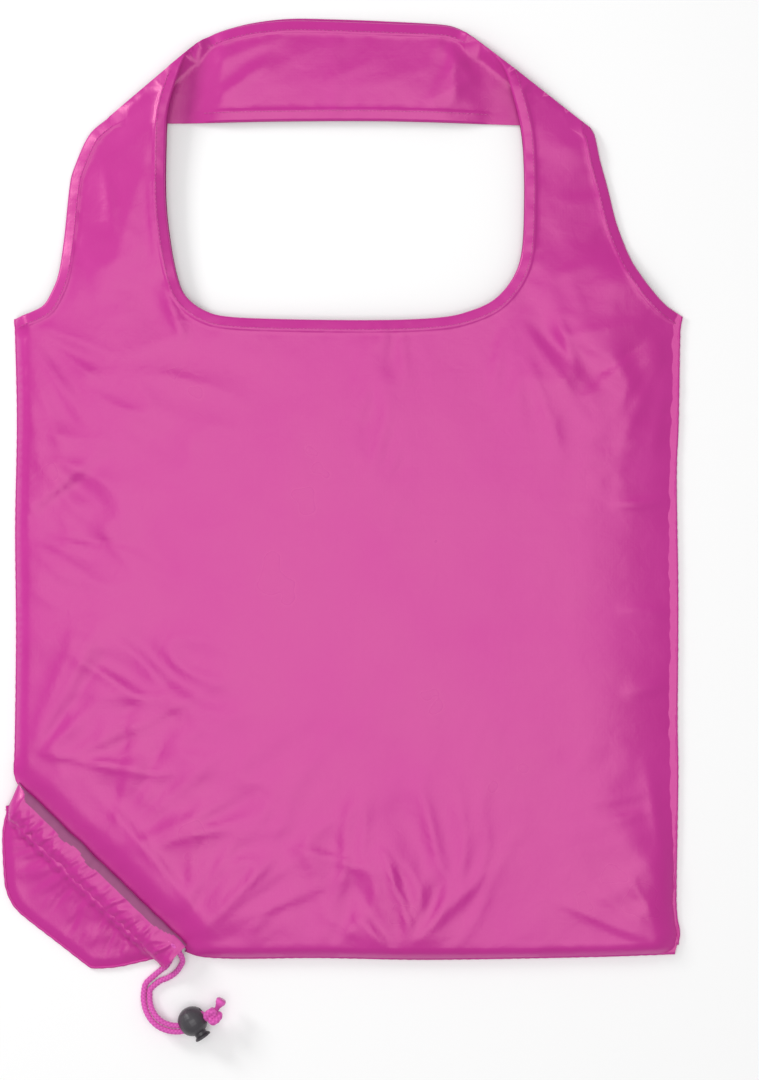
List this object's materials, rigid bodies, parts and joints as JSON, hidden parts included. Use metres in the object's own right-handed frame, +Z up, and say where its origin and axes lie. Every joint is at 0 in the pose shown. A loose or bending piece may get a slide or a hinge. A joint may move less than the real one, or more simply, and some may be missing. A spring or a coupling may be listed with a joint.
{
  "type": "foldable tote bag",
  "caption": "Thin polyester shopping tote laid flat, with two loop handles and a corner stow pouch closed by a drawcord and ball cord stop.",
  "frame": {"origin": "middle of the bag's outline without its cord, on the surface that it lies on", "axes": "+X to the right of the bag's front, +Y towards the handles, +Z up out of the front face"},
  "size_m": [0.385, 0.5829, 0.0171],
  "materials": {
    "cloth": "satin woven polyester",
    "cord": "braided",
    "stop_plastic": "satin moulded",
    "spring_steel": "drawn wire"
  },
  "bodies": {
    "bag": {"back_panel": "cloth", "front_panel": "cloth", "side_seam_left": "cloth", "side_seam_right": "cloth", "bottom_seam": "cloth", "front_neck_hem": "cloth", "back_neck_hem": "cloth", "pouch_back": "cloth", "pouch_front": "cloth", "pouch_seam": "cloth", "pouch_casing": "cloth", "drawcord": "cord", "cord_knot": "cord"},
    "front_handle": {"front_handle_left": "cloth", "front_handle_right": "cloth", "front_handle_seam": "cloth"},
    "back_handle": {"back_handle_left": "cloth", "back_handle_right": "cloth", "back_handle_seam": "cloth"},
    "cord_stop": {"stop_body": "stop_plastic", "stop_spring": "spring_steel"},
    "plunger": {"stop_plunger": "stop_plastic"}
  },
  "joints": [
    {"name": "front_handle_fold", "type": "hinge", "parent": "bag", "child": "front_handle", "pos_m": [0.00352, 0.10061, 0.0091], "axis": [1, 0, 0], "range_deg": [0, 180]},
    {"name": "back_handle_fold", "type": "hinge", "parent": "bag", "child": "back_handle", "pos_m": [0.00352, 0.10061, -0.0003], "axis": [1, 0, 0], "range_deg": [-180, 0]},
    {"name": "stop_slide", "type": "hinge", "parent": "bag", "child": "cord_stop", "pos_m": [-0.09321, -0.28729, 0.0086], "axis": [0, 0, 1], "range_deg": [-35, 0]},
    {"name": "plunger_press", "type": "slide", "parent": "cord_stop", "child": "plunger", "axis": [-0.5592, 0.829, 0], "range_m": [0, 0.0018], "stiffness_N_per_m": 300, "springref_m": -0.002, "deforming": ["stop_spring"]}
  ]
}
